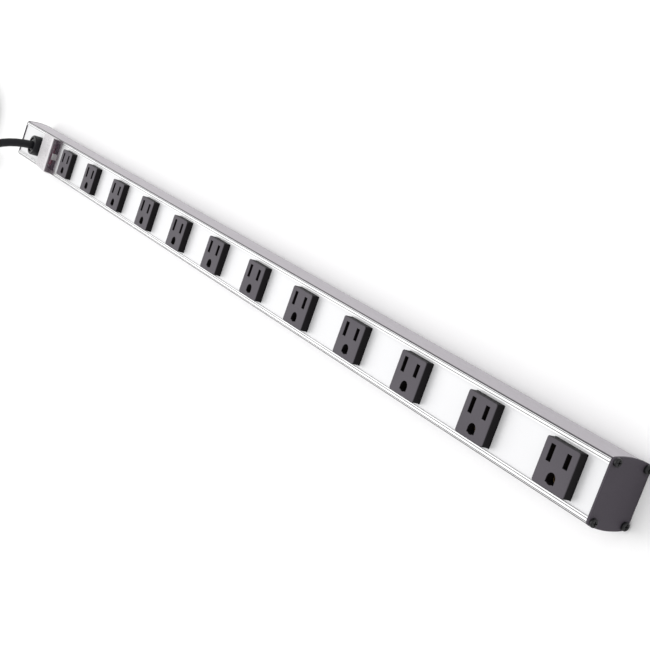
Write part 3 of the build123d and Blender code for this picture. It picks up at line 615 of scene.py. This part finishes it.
class STRIP_OT_mains_lead(bpy.types.Operator):
    """Lays the mains lead from its bushing to the hank beyond the strip's end"""

    bl_idname = "strip.mains_lead"
    bl_label = "Mains lead"

    # The free stretch, in metres: each point's x from the bushing's centre, then its y and z.
    ROUTE = (
        (0.0, 0.0, 0.028),
        (0.0, 0.0, 0.056),
        (-0.006, -0.020, 0.088),
        (-0.047, -0.025, 0.130),
        (-0.097, -0.036, 0.126),
        (-0.136, -0.044, 0.096),
        (-0.162, -0.049, 0.056),
        (-0.185, -0.0515, 0.016),
        (-0.223, -0.0525, 0.0042),
        (-0.263, -0.0505, 0.0042),
    )

    def execute(self, context):
        values = context.scene.strip_lead
        route = [Vector((BUSHING.x + x, y, z)) for x, y, z in self.ROUTE]
        points = route + self.hank_points(values) + self.plug_points(values)
        data = bpy.data.curves.new("mains_lead", "CURVE")
        data.dimensions = "3D"
        data.bevel_depth = values.diameter / 2
        data.bevel_resolution = 5
        data.resolution_u = 6
        data.use_fill_caps = True
        spline = data.splines.new("NURBS")
        spline.points.add(len(points) - 1)
        for held, point in zip(spline.points, points):
            held.co = (*point, 1)
        spline.order_u = 3
        spline.use_endpoint_u = True
        lead = bpy.data.objects.new("mains_lead", data)
        context.scene.collection.objects.link(lead)
        lead.data.materials.append(jacket_finish(context.scene.strip_finish))
        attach(lead, BODY)
        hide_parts("cord_tube", "cord_hank")
        return {"FINISHED"}

    def hank_points(self, values):
        """The turns of the hank: rounded ends, a waist under the tie, two side by side in each layer."""
        thick = values.diameter
        low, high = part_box("cord_hank")
        middle_x, middle_y = (low.x + high.x) / 2, (low.y + high.y) / 2
        outer_end = (high.x - low.x - thick) / 2
        outer_radius = 4 * thick
        cap_centre = outer_end - outer_radius
        dip = 2 * thick
        points = []
        for step in range(values.turns * values.turn_points):
            turn, part = divmod(step, values.turn_points)
            share = part / values.turn_points
            now, after = self.nest_slot(turn), self.nest_slot(turn + 1)
            # The lead moves to its next place in the near end loop, the last quarter of each turn.
            move = min(1, max(0, (share - 0.72) / 0.28))
            move = move * move * (3 - 2 * move)
            nest = now[0] + (after[0] - now[0]) * move
            layer = now[1] + (after[1] - now[1]) * move
            radius = outer_radius - nest * thick
            x, y = self.outline(share, cap_centre, radius, dip)
            points.append(Vector((middle_x + x, middle_y + y, (layer + 0.5) * thick)))
        return points

    def nest_slot(self, turn):
        """(0 outer or 1 inner, layer) of a turn."""
        layer, second = divmod(turn, 2)
        return (second if layer % 2 == 0 else 1 - second), layer

    def outline(self, share, cap_centre, radius, dip):
        """A point of one turn: side, far end loop, side, near end loop."""
        side = 0.27
        if share < side:
            along = cap_centre * (1 - 2 * share / side)
            return along, -(radius - dip * math.cos(math.pi * along / (2 * cap_centre)) ** 2)
        if share < 0.5:
            angle = math.pi * (share - side) / (0.5 - side)
            return -cap_centre - radius * math.sin(angle), -radius * math.cos(angle)
        x, y = self.outline(share - 0.5, cap_centre, radius, dip)
        return -x, -y

    def plug_points(self, values):
        """The last strand, over the hank and into the plug."""
        low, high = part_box("plug_body")
        y = (low.y + high.y) / 2
        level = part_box("cord_hank")[1].z - values.diameter / 2
        return [
            Vector((high.x + 0.026, y - 0.006, level - 0.006)),
            Vector((high.x + 0.012, y - 0.001, level - 0.001)),
            Vector((high.x - 0.004, y, level)),
        ]


class STRIP_OT_plug(bpy.types.Operator):
    """Models the moulded plug, with its face, grip ridges and ringed strain relief"""

    bl_idname = "strip.plug"
    bl_label = "Plug"

    RELIEF_LENGTH = 0.024
    CORD_SLEEVE = 0.0047

    def execute(self, context):
        values = context.scene.strip_lead
        low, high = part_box("plug_body")
        body_rear = high.x - self.RELIEF_LENGTH
        body = self.body(low, Vector((body_rear, high.y, high.z)))
        ridges = self.ridges(low, Vector((body_rear, high.y, high.z)), values.grip_ridges)
        relief = self.relief(body_rear, high.x, (low.y + high.y) / 2, values)
        plug = join([body, *ridges, relief], "plug_moulding")
        smooth_by_angle(plug, 40)
        plug.data.materials.clear()
        plug.data.materials.append(
            moulded("plug_rubber", context.scene.strip_finish.jacket, 0.45, 1000.0, 0.00005, 0.08)
        )
        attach(plug, BODY)
        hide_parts("plug_body")
        return {"FINISHED"}

    def body(self, low, high):
        """The block: drawn in towards the lead, waisted for the fingers, with rounded edges."""
        piece = box_between(low, high, "plug_block")
        length = high.x - low.x
        bpy.ops.object.mode_set(mode="EDIT")
        for share in (0.12, 0.42, 0.72):
            bpy.ops.mesh.select_all(action="SELECT")
            bpy.ops.mesh.bisect(plane_co=(low.x + share * length, 0, 0), plane_no=(1, 0, 0))
        bpy.ops.object.mode_set(mode="OBJECT")
        middle = (low + high) / 2
        # Each station along the plug, as a share of its length, and its width and height there.
        for share, width, height in ((0.42, 0.90, 0.97), (0.72, 0.88, 0.90), (1.0, 0.62, 0.66)):
            station = low.x + share * length
            select_where(piece, "VERT", lambda vertex: abs(vertex.co.x - station) < 1e-5)
            bpy.ops.transform.resize(value=(1, width, height), center_override=(station, middle.y, middle.z))
            bpy.ops.object.mode_set(mode="OBJECT")
        apply_modifier(piece, "BEVEL", width=0.0028, segments=5, limit_method="ANGLE")
        select_where(piece, "FACE", lambda face: face.normal.x < -0.99)
        bpy.ops.mesh.inset(thickness=0.0012, depth=0)
        bpy.ops.mesh.inset(thickness=0.0004, depth=-0.0005)
        bpy.ops.object.mode_set(mode="OBJECT")
        return piece

    def ridges(self, low, high, count):
        """Grip ridges across both long sides."""
        length = high.x - low.x
        middle_z = (low.z + high.z) / 2
        made = []
        for side in (-1, 1):
            face_y = (low.y + high.y) / 2 + side * 0.445 * (high.y - low.y)
            for number in range(count):
                x = low.x + length * (0.36 + 0.075 * number)
                start = (x - 0.0006, face_y - 0.0009, middle_z - 0.0060 + 0.0003 * number)
                end = (x + 0.0006, face_y + 0.0009, middle_z + 0.0060 - 0.0003 * number)
                ridge = box_between(start, end, "plug_ridge")
                apply_modifier(ridge, "BEVEL", width=0.0005, segments=3)
                made.append(ridge)
        return made

    def relief(self, start, end, y, values):
        """A tapered sleeve of rings, extruded from its wide end along the lead."""
        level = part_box("cord_hank")[1].z - values.diameter / 2
        wide, narrow = 0.0066, self.CORD_SLEEVE
        deselect_all()
        bpy.ops.mesh.primitive_circle_add(
            vertices=40, radius=wide, fill_type="NGON", location=(start - 0.003, y, level),
            rotation=(0, math.pi / 2, 0),
        )
        piece = bpy.context.object
        piece.name = "plug_relief"
        settle(piece)
        bpy.ops.object.mode_set(mode="EDIT")
        bpy.ops.mesh.select_all(action="SELECT")
        place, radius = start - 0.003, wide
        step = (end - start) / (2 * values.relief_rings)
        for x, wanted in self.rings(start, end, step, wide, narrow, values.relief_rings):
            bpy.ops.mesh.extrude_region_move(TRANSFORM_OT_translate={"value": (x - place, 0, 0)})
            share = wanted / radius
            bpy.ops.transform.resize(value=(share, share, share), center_override=(x, y, level))
            place, radius = x, wanted
        bpy.ops.mesh.select_all(action="SELECT")
        bpy.ops.mesh.normals_make_consistent(inside=False)
        bpy.ops.object.mode_set(mode="OBJECT")
        apply_modifier(piece, "BEVEL", width=0.0003, segments=2, limit_method="ANGLE")
        return piece

    def rings(self, start, end, step, wide, narrow, count):
        """Each ring's corners as x and radius: up, along, down and along."""
        yield start, wide
        for number in range(count):
            x = start + 2 * step * number
            outer = wide + (narrow - wide) * (number + 0.5) / count
            inner = max(narrow, outer - 0.0009)
            yield x + 0.05 * step, outer
            yield x + 1.15 * step, outer
            yield x + 1.25 * step, inner
            yield min(end, x + 1.95 * step), inner


class STRIP_OT_strap(bpy.types.Operator):
    """Models the hook-and-loop strap round the hank's waist"""

    bl_idname = "strip.strap"
    bl_label = "Strap"

    def execute(self, context):
        values = context.scene.strip_lead
        low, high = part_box("hank_tie")
        band = self.band(low, high, values.strap_thickness)
        tail = self.tail(low, high, values.strap_thickness)
        strap = join([band, tail], "lead_strap")
        smooth_by_angle(strap, 40)
        strap.data.materials.clear()
        strap.data.materials.append(strap_finish())
        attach(strap, BODY)
        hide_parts("hank_tie")
        return {"FINISHED"}

    def band(self, low, high, thickness):
        """A closed band: a box with round corners, open at both ends, given a wall."""
        piece = box_between(low, high, "strap_band")
        select_where(piece, "FACE", lambda face: abs(face.normal.x) > 0.9)
        bpy.ops.mesh.delete(type="ONLY_FACE")
        bpy.ops.object.mode_set(mode="OBJECT")

        def along_x(edge):
            first, second = (piece.data.vertices[index].co for index in edge.vertices)
            return abs(first.x - second.x) > 0.001

        select_where(piece, "EDGE", along_x)
        bpy.ops.mesh.bevel(offset=0.0036, segments=6)
        bpy.ops.object.mode_set(mode="OBJECT")
        apply_modifier(piece, "SOLIDIFY", thickness=thickness, offset=-1.0)
        apply_modifier(piece, "BEVEL", width=0.0003, segments=2, limit_method="ANGLE")
        return piece

    def tail(self, low, high, thickness):
        """The strap's free end, lying over its own band down the far side."""
        inset = 0.0006
        piece = box_between(
            (low.x + inset, high.y - 0.0002, low.z + 0.30 * (high.z - low.z)),
            (high.x - inset, high.y + thickness, high.z - 0.0045), "strap_tail",
        )
        apply_modifier(piece, "BEVEL", width=0.0004, segments=2)
        return piece


class STRIP_OT_finishes(bpy.types.Operator):
    """Gives the CAD pieces their finishes, and rounds the edges of the panel, the outlet faces and the plug
    blades
    """

    bl_idname = "strip.finishes"
    bl_label = "Finishes"

    def execute(self, context):
        values = context.scene.strip_finish
        self.casing(values)
        self.outlets(values)
        self.switch(values)
        self.inside(values)
        return {"FINISHED"}

    def casing(self, values):
        put_on(["housing"], channel_finish(values))
        panel = Finish("panel_enamel", metallic=0.15)
        put_on(["front_panel"], panel.grain(values.panel, 0.40, 2200.0, 0.00001, 0.015))
        plates = moulded("end_plate_moulding", values.end_plate, 0.52, 1400.0, 0.00005, 0.06, 0.2)
        put_on(named("end_plate", ""), plates)
        oxide = moulded("screw_black_oxide", (0.008, 0.008, 0.009), 0.32, 2600.0, 0.00002, 0.1, 0.3)
        put_on(named("end_screws", ""), oxide)
        soften(["front_panel"], 0.0001)

    def outlets(self, values):
        put_on(named("outlet_", "_face"), outlet_finish(values))
        put_on(named("outlet_", "_base"), moulded("outlet_rear_moulding", (0.012, 0.012, 0.013), 0.55, 900.0))
        soften(named("outlet_", "_face"), 0.00022)

    def switch(self, values):
        # The painted glare runs a little way over the crest, down the end wall.
        glare_end_x = self.crest() + 0.0045
        case = moulded("switch_case", (0.012, 0.012, 0.016), 0.4, 1500.0, 0.00003, 0.05, 0.25)
        put_on(["switch_body"], case)
        put_on(["switch_rocker"], moulded("rocker_red", values.rocker, 0.25, 500.0, 0.00001, 0.08, 0.3))
        put_on(["switch_guard"], guard_finish(glare_end_x))
        put_on(["guard_hinge_base"], clear_plastic("hinge_clear_moulding", (0.86, 0.86, 0.88), 0.2, 0.8))
        latch = moulded("latch_white", (0.90, 0.90, 0.89), 0.35, 1500.0, 0.00002, 0.02, edge=0.0)
        put_on(["guard_latch"], latch)
        put_on(["switch_lamp"], clear_plastic("lamp_glass", (0.95, 0.7, 0.5), 0.05, 0.5))

    def crest(self):
        """The guard's highest line, as its x."""
        guard = NODES["switch_guard"].data
        top = max(vertex.co.z for vertex in guard.vertices)
        return max(vertex.co.x for vertex in guard.vertices if vertex.co.z > top - 0.0002)

    def inside(self, values):
        brass = drawn_metal("stamped_brass", (0.60, 0.43, 0.18), 0.35)
        put_on(named("", "_contacts") + named("", "_bus_bar"), brass)
        put_on(["switch_terminals", "ring_terminal"], drawn_metal("tinned_brass", (0.75, 0.68, 0.55), 0.3))
        steel = drawn_metal("pin_steel", (0.6, 0.6, 0.6), 0.3)
        put_on(["rocker_pivot", "guard_hinge_pin", "ground_nut"], steel)
        # The bushing's large edge share paints a strong highlight round its head.
        bushing = moulded("bushing_nylon", (0.006, 0.006, 0.008), 0.34, 1200.0, 0.00004, 0.06, 0.22, 1.5)
        put_on(["cord_bushing", "bushing_lock"], bushing)
        put_on(["inner_jacket"], moulded("inner_jacket_rubber", values.jacket, 0.45, 1500.0))
        put_on(["line_lead", "switched_lead"], moulded("black_core", (0.02, 0.02, 0.02), 0.4))
        put_on(["neutral_lead"], moulded("white_core", (0.8, 0.8, 0.78), 0.4))
        put_on(["ground_lead"], moulded("green_core", (0.03, 0.3, 0.08), 0.4))
        put_on(["plug_blades", "plug_ground_pin"], drawn_metal("plated_brass", (0.72, 0.66, 0.54), 0.25))
        soften(["plug_blades"], 0.0003)


class STRIP_PT_panel(bpy.types.Panel):
    """Shows the strip's operators and settings in the sidebar"""

    bl_label = "Power strip"
    bl_idname = "STRIP_PT_panel"
    bl_space_type = "VIEW_3D"
    bl_region_type = "UI"
    bl_category = "Power strip"

    def draw(self, context):
        for operator in OPERATORS:
            self.layout.operator(operator.bl_idname)
        for group in SETTINGS:
            values = getattr(context.scene, group)
            for name in values.__annotations__:
                self.layout.prop(values, name)


OPERATORS = (STRIP_OT_stage, STRIP_OT_plug, STRIP_OT_strap, STRIP_OT_mains_lead, STRIP_OT_finishes)
SETTINGS = {"strip_stage": StageSettings, "strip_lead": LeadSettings, "strip_finish": FinishSettings}
CLASSES = (*SETTINGS.values(), *OPERATORS, STRIP_PT_panel)


def register():
    for made in CLASSES:
        bpy.utils.register_class(made)
    for name, group in SETTINGS.items():
        setattr(bpy.types.Scene, name, bpy.props.PointerProperty(type=group))


def unregister():
    for name in SETTINGS:
        delattr(bpy.types.Scene, name)
    for made in reversed(CLASSES):
        bpy.utils.unregister_class(made)


def main():
    register()
    bpy.ops.strip.stage()
    bpy.ops.strip.plug()
    bpy.ops.strip.strap()
    bpy.ops.strip.mains_lead()
    bpy.ops.strip.finishes()


if __name__ == "__main__":
    main()
